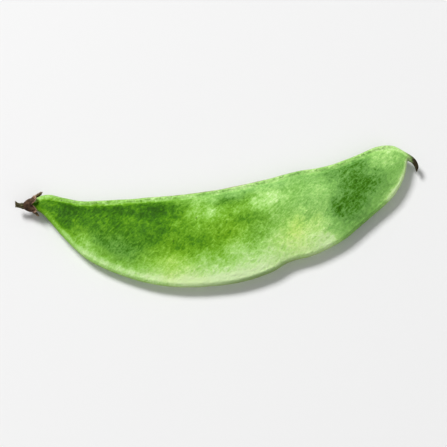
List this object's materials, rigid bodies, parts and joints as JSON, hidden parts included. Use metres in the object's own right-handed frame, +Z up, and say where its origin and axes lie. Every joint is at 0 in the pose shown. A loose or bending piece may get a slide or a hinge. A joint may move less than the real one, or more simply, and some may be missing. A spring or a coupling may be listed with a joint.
{
  "type": "hyacinth bean",
  "caption": "Flat crescent bean pod, as picked, lying on its side, with a short hooked beak at the tip and the dried calyx and a stub of stalk at the neck.",
  "frame": {"origin": "on the surface the pod lies on, under the middle of the whole object's box", "axes": "+X along the length, from the stalk to the beak; +Y towards the concave crest seam; +Z up, through the pod's thickness"},
  "size_m": [0.118, 0.037, 0.007],
  "materials": {
    "pod_skin": "fresh matt green pod skin with a pale bloom, fine short down and rough pale seams",
    "dried_calyx": "dried brown papery calyx, matt and wrinkled",
    "stalk": "drying green-brown stalk, ribbed, with a torn end"
  },
  "bodies": {
    "root": {"pod": "pod_skin", "calyx": "dried_calyx", "stalk": "stalk"}
  },
  "joints": []
}
